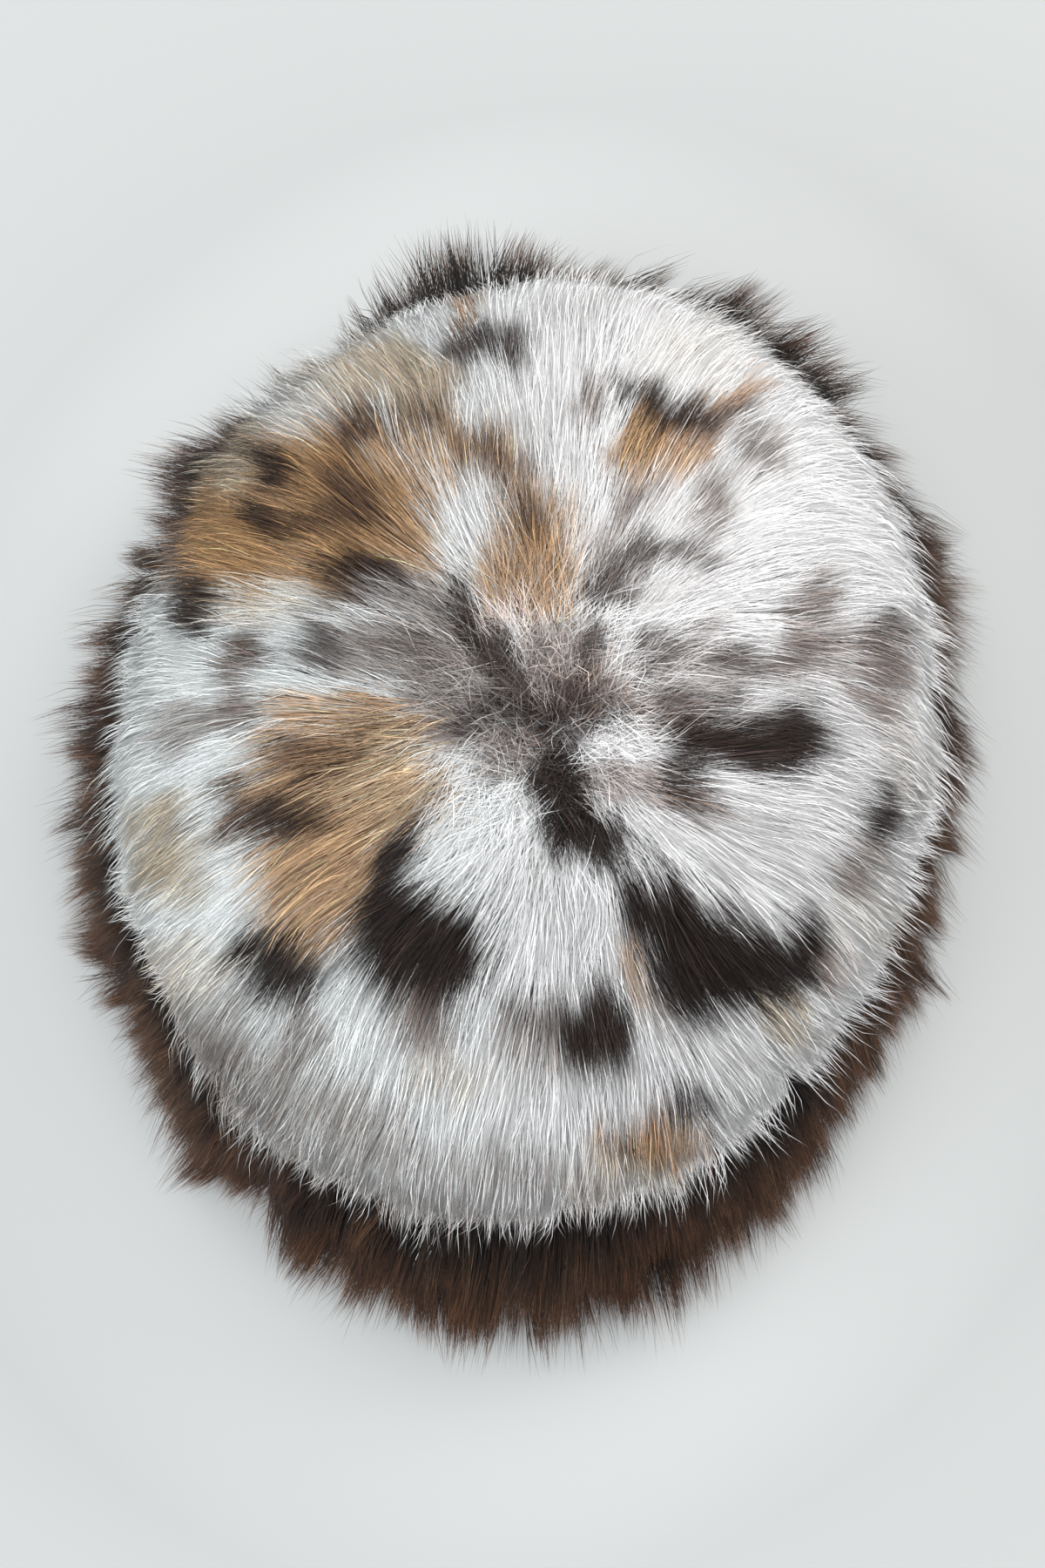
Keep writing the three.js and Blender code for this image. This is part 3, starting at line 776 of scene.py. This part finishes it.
crown = {
    # spread is how far a hair falls over the band, atEdge the share that roots along the edge
    "fine": {"hairs": 15500, "length": 0.021, "pile": 0.0095, "spread": 0.61,
             "width": 0.00019, "atEdge": 0.10},
    "body": {"hairs": 1800, "length": 0.024, "pile": 0.0100, "spread": 0.74,
             "width": 0.00011, "atEdge": 0.2},
    "guard": {"hairs": 450, "length": 0.030, "pile": 0.0115, "spread": 0.80,
              "width": 0.00008, "atEdge": 0.45},
    "underfur": 0.0036,
    "lengthRange": (0.75, 1.2),
    "pileRange": (0.93, 1.05),
    "pileWaves": [(0.10, 0.03, 23)],
    "midPile": 0.80,
    "endPileRange": (0.95, 1.06),
    "leastSpread": 0.15,
    "mostSpread": 1.35,
    "spreadFrom": 0.55,
    "spreadGain": 1.05,
    "tuftSpread": 0.22,
    "longSpreadPower": 0.45,
    "spreadWaves": [(0.18, 0.05, 27), (0.26, 0.013, 28)],
    "flareOut": 0.42,
    "flareDown": 0.80,
    "rimLift": 0.28,
    "rimLiftFrom": 0.66,
    "widthRange": (0.75, 1.25),
    "edgeBelt": 0.14,  # the hairs along the edge root in this much travel
    "seamShare": 0.22,
    "seamReach": 0.006,
    "seamDip": 0.18,
    "seamLean": 0.10,
    "seamLeanReach": 0.009,
    # how far a hair strays from its gore's lean, in radians
    "strayWaves": [(0.15, 0.05, 21), (0.10, 0.018, 22)],
    "stray": 0.10,
    "seamStrayGain": 2.2,
    "tuftStray": 0.07,
    "tipStray": 1.3,
    "tipReach": 0.16,
    "tipShorter": 0.5,
    "tipTaller": 0.15,
    "wobble": 0.0005,
    "hairsPerClump": 14,
    "clumpPull": 0.16,
    "tuftPull": 0.28,
    "edgePull": 0.3,
    "edgeFrom": 0.95,
    "edgeBlur": 0.15,
    # painted shade: some of the hair over the band is greyer, most of all at its tips, where
    # the dark band shows through them
    "edgeShadeShare": 0.45,
    "edgeShadeRange": (0.2, 0.8),
    "shadeVaries": 0.025,
    # painted shade: the underfur and the hair's roots are darkened a little, as shade deep in
    # the pile
    "paintedUnderfurShade": 0.98,
    "paintedRootShade": 0.99,
    # the pile bulges over the crown seam, so it never faces as far down as the hide does
    "bulgeTravel": 0.76,
    "tufts": 110,
    "rootsFrom": 0.004,
    # the shell under the hair
    "shellEdge": 0.0025,
    "shellRows": 34,
    "shellColumns": 36,
    "shellLumps": [(0.10, 0.018, 31), (0.08, 0.006, 32)],
    "atSeam": 0.55,
    "seamRise": 0.004,
    "rimThinner": 0.6,
    "rimFrom": 0.9,
}

# how far the crown's pile covers the band round the hat, as a share of its usual reach
edgeReach = {
    0: 0.95, 20: 0.8, 34: 0.5, 60: 0.42, 85: 0.46, 102: 0.6, 118: 0.75, 130: 0.75, 161: 0.9,
    180: 1.0, 200: 1.0, 211: 0.95, 240: 1.0, 253: 1.4, 275: 1.4, 286: 1.1, 298: 1.2,
    316: 1.65, 334: 1.65, 346: 1.15, 360: 0.95,
}

# how much of the hair that ends over the band turns greyer with painted shade, round the hat
edgeShadeRound = {0: 1, 110: 1, 150: 0.25, 245: 0.25, 280: 0.6, 320: 1, 360: 1}

# lean: how far the pile is brushed round from straight down the gore, in degrees
# comb: how nearly it lies along the gore's middle line
gores = [
    {"name": "crown_gore_back_left", "from": 0, "to": 60, "lean": 9, "comb": 0.2},
    {"name": "crown_gore_back", "from": 60, "to": 120, "lean": -3, "comb": 0.35},
    {"name": "crown_gore_back_right", "from": 120, "to": 180, "lean": 4, "comb": 0.0},
    {"name": "crown_gore_front_right", "from": 180, "to": 240, "lean": -18, "comb": 0.3},
    {"name": "crown_gore_front", "from": 240, "to": 300, "lean": -7, "comb": 0.0},
    {"name": "crown_gore_front_left", "from": 300, "to": 360, "lean": 6, "comb": -0.1},
]


def roundHat(table, angle):
    return np.interp(np.degrees(angle) % 360, list(table), list(table.values()))


def overBand(travel, angle, height, spread):
    # past the crown seam the pile flares out over the band instead of following the hide
    past = np.clip(travel - 1, 0, None) * hide["seamHeight"] * spread
    here = hideFrame(np.minimum(travel, 1.0), angle)
    rise = np.clip((travel - crown["rimLiftFrom"]) / (1 - crown["rimLiftFrom"]), 0, 1)
    height = height * (1 + crown["rimLift"] * rise * rise * (3 - 2 * rise))
    level = here["out"] * np.array([1, 1, 0])
    flare = crown["flareOut"] * roundHat(edgeReach, angle) ** 0.5
    outward = here["out"] * height[:, None] + level * (past * flare)[:, None]
    drop = np.stack([0 * past, 0 * past, -past * crown["flareDown"]], -1)
    return here["place"] + outward + drop


def goreHair(gore, kind, tufts, rng):
    own = crown[kind]
    count = own["hairs"]
    centre = math.radians((gore["from"] + gore["to"]) / 2)
    halfSpan = math.radians((gore["to"] - gore["from"]) / 2)
    margin = 0.004
    goreAngles = (centre - halfSpan + margin, centre + halfSpan - margin)
    travel, angle = sampleHide(count, (crown["rootsFrom"], 1.0), goreAngles, rng)
    atRim = rng.uniform(0, 1, count) < own["atEdge"]
    travel = np.where(atRim, 1 - crown["edgeBelt"] * (1 - travel), travel)
    bySeam = rng.uniform(0, 1, count) < crown["seamShare"]
    rate = hideFrame(travel, angle)["aroundRate"]
    inset = rng.uniform(0, crown["seamReach"], count) / rate
    side = np.where(angle > centre, 1, -1)
    seamAngle = centre + side * np.maximum(halfSpan - margin - inset, 0)
    angle = np.where(bySeam, seamAngle, angle)
    here = hideFrame(travel, angle)
    rootAt = here["place"]
    nearTip = np.exp(-((travel / crown["tipReach"]) ** 2))
    tuft = nearestOf(rootAt, tufts["centres"])
    seamDistance = (halfSpan - np.abs(angle - centre)) * here["aroundRate"]
    overSeam = np.exp(-((seamDistance / crown["seamLeanReach"]) ** 2))
    lean = math.radians(gore["lean"]) * (1 - overSeam) + side * crown["seamLean"] * overSeam
    stray = (
        lean
        + addWaves(rootAt, crown["strayWaves"])
        + rng.normal(0, crown["stray"], count) * np.where(bySeam, crown["seamStrayGain"], 1)
        + crown["tuftStray"] * tufts["gain"][tuft]
        + nearTip * rng.normal(0, crown["tipStray"], count)
    )
    wayAt = lambda around: -gore["comb"] * (1 - overSeam) * (around - centre) + stray
    reach = own["length"] * rng.uniform(*crown["lengthRange"], count)
    reach = reach * (1 - crown["tipShorter"] * nearTip)
    halfTravel, halfAngle = walkHide(travel, angle, wayAt, reach / 2, 3)
    endTravel, endAngle = walkHide(halfTravel, halfAngle, wayAt, reach / 2, 3)
    dip = 1 - crown["seamDip"] * np.exp(-((seamDistance / crown["seamReach"]) ** 2))
    height = own["pile"] * rng.uniform(*crown["pileRange"], count) * dip
    pileWave = addWaves(rootAt, crown["pileWaves"])
    height = height * (1 + pileWave + crown["tipTaller"] * nearTip)
    uneven = crown["spreadFrom"] + crown["spreadGain"] * rng.uniform(0, 1, count) ** 2
    spread = own["spread"] * uneven
    spread = spread * np.clip(1 + crown["tuftSpread"] * tufts["gain"][tuft], 0.5, 1.5)
    # single long hairs reach further over the band than the fine pile
    edge = roundHat(edgeReach, endAngle)
    edge = edge if kind == "fine" else np.maximum(edge, edge ** crown["longSpreadPower"])
    spread = spread * edge
    for wave in crown["spreadWaves"]:
        spread = spread * (1 + addWaves(rootAt, [wave]))
    spread = np.clip(spread, crown["leastSpread"], crown["mostSpread"])
    rootPlace = rootAt + here["out"] * hide["rootHeight"]
    midPlace = overBand(halfTravel, halfAngle, height * crown["midPile"], spread)
    endHeight = height * rng.uniform(*crown["endPileRange"], count)
    endPlace = overBand(endTravel, endAngle, endHeight, spread)
    outward = hideFrame(np.minimum(halfTravel, crown["bulgeTravel"]), halfAngle)["out"]
    sideways = unit(np.cross(endPlace - rootPlace, outward))
    midPlace += sideways * rng.normal(0, crown["wobble"], count)[:, None]
    # a clump or tuft draws in the ends most, and the middles by a share of that
    moving = [(midPlace, 0.4), (endPlace, 1)]
    clumpSign = clumpTogether(crown, rootPlace, moving, rng)
    atEdge = np.clip((endTravel - crown["edgeFrom"]) / crown["edgeBlur"], 0, 1)[:, None]
    moving = [(midPlace, 0.3), (endPlace, 1 + crown["edgePull"] * atEdge)]
    drawTogether(tuft, moving, crown["tuftPull"] * tufts["pull"])
    shift = unit(endPlace - rootPlace) * (coat["clumpShift"] * clumpSign)[:, None]
    curve = hairColumns(rootPlace, midPlace, endPlace, outward)
    luck = int(rng.integers(1 << 30))
    shade = rng.normal(1, crown["shadeVaries"], (count, 1))
    # painted shade: the ends over the band grey towards taupe, most of all at the tip
    edgeShade = atEdge * (rng.uniform(0, 1, (count, 1)) < crown["edgeShadeShare"])
    edgeShade = edgeShade * rng.uniform(*crown["edgeShadeRange"], (count, 1))
    edgeShade = edgeShade * roundHat(edgeShadeRound, endAngle)[:, None]
    stations = []
    # the root station is darkened as painted shade deep in the pile
    for share, depth, grey in zip(hairStations, (crown["paintedRootShade"], 1, 1), (0, 0.5, 1)):
        onHair = rootPlace + curve["lean"] * share + curve["bend"] * share ** 2
        tint = coatTint(onHair + shift, luck) * depth * shade
        tint = tint + (np.minimum(tint, tints["taupe"]) - tint) * edgeShade * grey
        stations.append(np.clip(tint, 0.008, 0.98))
    width = own["width"] * rng.uniform(*crown["widthRange"], count)
    return hairColumns(rootPlace, midPlace, endPlace, outward, width, *stations)


def makeGore(gore, number):
    rng = np.random.default_rng(300 + number)
    start, stop = math.radians(gore["from"]), math.radians(gore["to"])
    tipRows = [0.002, 0.01, 0.03, 0.06]
    travels = np.concatenate([tipRows, np.linspace(0.1, 1.0, crown["shellRows"])])
    edge = crown["shellEdge"]
    angles = np.linspace(start + edge, stop - edge, crown["shellColumns"])

    def outerAt(travel, angle, place):
        rate = hideFrame(travel, angle)["aroundRate"]
        seamDistance = np.minimum(angle - start, stop - angle) * rate
        lumps = 1 + addWaves(place, crown["shellLumps"])
        fromSeam = np.clip(seamDistance / crown["seamRise"], 0, 1) ** 0.5
        bySeam = crown["atSeam"] + (1 - crown["atSeam"]) * fromSeam
        toRim = np.clip((travel - crown["rimFrom"]) / (1 - crown["rimFrom"]), 0, 1)
        return crown["underfur"] * lumps * bySeam * (1 - crown["rimThinner"] * toRim)

    tuftTravels = (crown["rootsFrom"], 1.0)
    tufts = makeTufts(tuftTravels, (start, stop), crown["tufts"], 700 + number)
    # the underfur's tint is darkened as painted shade deep in the pile
    tintAt = lambda places: coatTint(places, 8) * crown["paintedUnderfurShade"]
    limit = crown["bulgeTravel"]
    shellName = gore["name"] + "_hide"
    meshes = [shellMesh(shellName, travels, angles, outerAt, False, tintAt, limit)]
    for kind, lengths in hairKinds.items():
        meshes.append(growHair(kind, goreHair(gore, kind, tufts, rng), lengths, hairMaterial))
    piece = joinMeshes(gore["name"].replace("crown_gore", "crown_fur"), meshes)
    addPiece(piece, gore["name"])


for number, gore in enumerate(gores):
    makeGore(gore, number)

band = {
    "fine": {"hairs": 13500, "gain": 0.90, "width": 0.00025},
    "body": {"hairs": 4600, "gain": 0.98, "width": 0.00015},
    "guard": {"hairs": 2000, "gain": 1.12, "width": 0.00009},
    "underfur": 0.0115,
    "edgeUnderfur": 0.007,
    "outRange": (0.72, 1.06),
    "outWaves": [(0.06, 0.035, 43)],
    "tuftOut": 0.14,
    "furthestOut": 0.047,
    "furthestRange": (0.9, 1),
    "widthRange": (0.75, 1.25),
    # how far down the hide a hair ends, less near the floor
    "drop": 0.023,
    "dropRange": (0.7, 1.25),
    "lowDrop": 0.35,
    "dropGain": 1.3,
    # how far out it ends: at the floor, at 0.3 and 0.7 of the band's height, and at its top
    "out": (0.0240, 0.0290, 0.0290, 0.0240),
    "outAt": (0, 0.3, 0.7, 1),
    "midOut": 0.58,
    "reachGain": 1.35,
    "strayWaves": [(0.20, 0.045, 41), (0.14, 0.016, 42)],
    "stray": 0.12,
    "tuftStray": 0.10,
    "wobble": 0.001,
    "hairsPerClump": 22,
    "clumpPull": 0.55,
    "tuftPull": 0.58,
    "floorClearance": 0.0006,
    "floorScatter": (0.003, 0.004),
    "tufts": 190,
    "rootRange": (1.01, 1.97),
    "shellRows": 26,
    "shellColumns": 180,
    "shellLumps": [(0.12, 0.016, 51)],
}
# how much further, or less far, the hair reaches round the hat, in millimetres
bandReach = {
    0: 6, 8: 1, 16: 1.5, 24: 5, 32: -1, 40: -2, 48: -2, 56: 2, 64: -8, 72: 1, 80: 2, 92: 6,
    112: 4, 120: 1, 136: 1, 144: 0, 152: -3, 168: 0, 176: 0, 184: -2, 192: 0, 200: -4,
    208: 1, 216: 8, 224: 6, 232: 3, 240: 11, 248: 10, 256: 9, 268: 5, 280: 9, 288: 11, 296: 14,
    300: 12, 304: 4, 310: -4, 317: 4, 324: 9, 336: 7, 344: 2, 352: 4.5, 360: 6,
}
# how far the hair is brushed round from straight down, in degrees
bandLean = {
    0: 3, 11: 5, 51: 0, 101: -5, 131: -10, 161: -20, 191: -25, 216: -34, 241: -8,
    271: -24, 311: 0, 360: 3,
}
bandTints = {
    "root": np.array([0.012, 0.0085, 0.007]),
    "tip": np.array([0.124, 0.051, 0.023]),
    "paleTip": np.array([0.29, 0.165, 0.092]),
    "reddish": np.array([0.150, 0.064, 0.032]),
    "reddishWave": (1, 0.09, 47),
    "paleWave": (1, 0.04, 48),
    "paleClump": 0.4,
    "lightHair": 0.5,
    "lightHairShare": 0.2,
    "mostPale": 0.5,
    "clumpTone": 0.28,
    "hairTone": 0.5,
    "tone": 0.12,
    "midShare": 0.38,
}
bandPieces = [
    {"name": "band_fur_back", "from": 30, "to": 150},
    {"name": "band_fur_right", "from": 150, "to": 270},
    {"name": "band_fur_left", "from": 270, "to": 390},
]


def bandHair(part, kind, tufts, rng):
    count = band[kind]["hairs"]
    partAngles = (math.radians(part["from"]), math.radians(part["to"]))
    travel, angle = sampleHide(count, band["rootRange"], partAngles, rng)
    here = hideFrame(travel, angle)
    rootAt = here["place"]
    tuft = nearestOf(rootAt, tufts["centres"])
    stray = (
        np.radians(roundHat(bandLean, angle))
        + band["tuftStray"] * tufts["shade"][tuft]
        + addWaves(rootAt, band["strayWaves"])
        + rng.normal(0, band["stray"], count)
    )
    wayAt = lambda around: stray
    height = rootAt[:, 2] / hide["seamHeight"]
    drop = band["drop"] * rng.uniform(*band["dropRange"], count)
    drop = drop * np.clip(band["lowDrop"] + height * band["dropGain"], band["lowDrop"], 1)
    halfTravel, halfAngle = walkHide(travel, angle, wayAt, drop * 0.42, 3)
    endTravel, endAngle = walkHide(halfTravel, halfAngle, wayAt, drop * 0.58, 3)
    half, end = hideFrame(halfTravel, halfAngle), hideFrame(endTravel, endAngle)
    out = np.interp(height, band["outAt"], band["out"])
    out = out + roundHat(bandReach, endAngle) * band["reachGain"] / 1000
    out = out * band[kind]["gain"] * rng.uniform(*band["outRange"], count)
    wave = addWaves(rootAt, band["outWaves"])
    out = out * (1 + wave + band["tuftOut"] * tufts["gain"][tuft])
    out = np.minimum(out, band["furthestOut"] * rng.uniform(*band["furthestRange"], count))
    rootPlace = rootAt + here["out"] * hide["rootHeight"]
    midPlace = half["place"] + half["out"] * (out * band["midOut"])[:, None]
    endPlace = end["place"] + end["out"] * out[:, None]
    midPlace += here["around"] * rng.normal(0, band["wobble"], count)[:, None]
    clumpShade = clumpTogether(band, rootPlace, [(midPlace, 0.45), (endPlace, 1)], rng)
    drawTogether(tuft, [(midPlace, 0.35), (endPlace, 1)], band["tuftPull"] * tufts["pull"])
    nearFloor, scatter = band["floorScatter"]
    for place in (midPlace, endPlace):
        low = place[:, 2] < band["floorClearance"] + nearFloor
        place[low, 2] = band["floorClearance"] + rng.uniform(0, scatter, low.sum())
    warm = np.clip(addWaves(rootAt, [bandTints["reddishWave"]]), 0, 1)[:, None]
    lightHair = rng.uniform(0, 1, count) < bandTints["lightHairShare"]
    pale = addWaves(rootAt, [bandTints["paleWave"]]) + bandTints["paleClump"] * clumpShade
    pale = np.clip(pale + bandTints["lightHair"] * lightHair, 0, 1)[:, None]
    tip = bandTints["tip"] + (bandTints["reddish"] - bandTints["tip"]) * warm
    tip = tip + (bandTints["paleTip"] - tip) * pale * bandTints["mostPale"]
    tone = bandTints["clumpTone"] * clumpShade + rng.normal(0, bandTints["hairTone"], count)
    tip = tip * np.exp(tone - bandTints["tone"])[:, None]
    root = np.repeat(bandTints["root"][None], count, 0)
    mid = root + (tip - root) * bandTints["midShare"]
    width = band[kind]["width"] * rng.uniform(*band["widthRange"], count)
    return hairColumns(rootPlace, midPlace, endPlace, here["out"], width, root, mid, tip)


def makeBand():
    travels = np.linspace(1.004, 2.0, band["shellRows"])
    angles = np.linspace(0, 2 * np.pi, band["shellColumns"] + 1)[:-1]

    def outerAt(travel, angle, place):
        edge = np.sin(np.pi * np.clip(travel - 1, 0, 1)) ** 0.5
        level = band["edgeUnderfur"] + (band["underfur"] - band["edgeUnderfur"]) * edge
        return level * (1 + addWaves(place, band["shellLumps"]))

    # painted shade: the band's underfur takes the hair's root tint made darker still, as shade
    # between the hairs
    tintAt = lambda places: np.repeat(bandTints["root"][None] * 0.9, len(places), 0)
    shell = shellMesh("band_hide", travels, angles, outerAt, True, tintAt, travels[-1])
    for number, part in enumerate(bandPieces):
        rng = np.random.default_rng(500 + number)
        reach = (math.radians(part["from"]), math.radians(part["to"]))
        tufts = makeTufts(band["rootRange"], reach, band["tufts"], 800 + number)
        meshes = [
            growHair(kind, bandHair(part, kind, tufts, rng), lengths, bandMaterial)
            for kind, lengths in hairKinds.items()
        ]
        addPiece(joinMeshes(part["name"], meshes), "fur_band")
    addPiece(newObject("band_hide", shell), "fur_band")


makeBand()

studio = {
    "floorSize": 16.0,
    "floorTint": (0.340, 0.347, 0.343),
    "worldTint": (0.975, 0.985, 1.0, 1),
    "worldStrength": 1.71,
    # the lamps: how far right, up and high they hang as the camera sees it, size, power, tint
    "lamps": {
        "key": (0.95, 0.8, 0.85, 1.3, 14, (1.0, 0.98, 0.95)),
        "fill": (-1.0, -0.5, 0.9, 1.4, 12, (0.92, 0.97, 1.0)),
    },
    # the floor is paler close round the hat, so that the hat's own shade there stays faint
    "paleHalfSizes": (0.113, 0.139),
    "paleReach": 1.45,
    "paleGain": 1.30,
}


def makeStage():
    half = studio["floorSize"] / 2
    mesh = bpy.data.meshes.new("floor")
    corners = [(-half, -half, 0), (half, -half, 0), (half, half, 0), (-half, half, 0)]
    mesh.from_pydata(corners, [], [(0, 1, 2, 3)])
    material, tree, surface = newMaterial("paleFloor", 0.9)
    where = addNode(tree, "ShaderNodeTexCoord")
    perHalfSize = [1 / size for size in studio["paleHalfSizes"]] + [0]
    away = addNode(tree, "ShaderNodeVectorMath", operation="MULTIPLY")
    setInputs(away, {1: perHalfSize})
    tree.links.new(where.outputs["Object"], away.inputs[0])
    far = addNode(tree, "ShaderNodeVectorMath", operation="LENGTH")
    tree.links.new(away.outputs[0], far.inputs[0])
    gain = mapRange(tree, far.outputs["Value"], 1, studio["paleReach"], studio["paleGain"], 1)
    tint = addNode(tree, "ShaderNodeVectorMath", operation="SCALE")
    setInputs(tint, {0: studio["floorTint"]})
    tree.links.new(gain, tint.inputs["Scale"])
    tree.links.new(tint.outputs[0], surface.inputs["Base Color"])
    setInputs(surface, {"Specular IOR Level": 0.1})
    mesh.materials.append(material)
    newObject("floor", mesh)


def hangLamp(name, right, up, high, size, power, tint):
    place = tuple(cameraRight * right + cameraUp * up + np.array([0, 0, high]))
    data = bpy.data.lights.new(name, "AREA")
    data.shape = "DISK"
    data.size = size
    data.energy = power
    data.color = tint
    lamp = newObject(name, data)
    lamp.location = place
    lamp.rotation_mode = "QUATERNION"
    lamp.rotation_quaternion = (Vector(place) - Vector((0, 0, 0.05))).to_track_quat("Z", "Y")


def makeLight():
    bpy.context.scene.view_settings.view_transform = "Standard"
    world = bpy.data.worlds.new("studio")
    world.use_nodes = True
    backdrop = world.node_tree.nodes["Background"]
    setInputs(backdrop, {0: studio["worldTint"], 1: studio["worldStrength"]})
    bpy.context.scene.world = world
    for name, lamp in studio["lamps"].items():
        hangLamp(name, *lamp)


makeStage()
makeLight()
print("stage and light set")
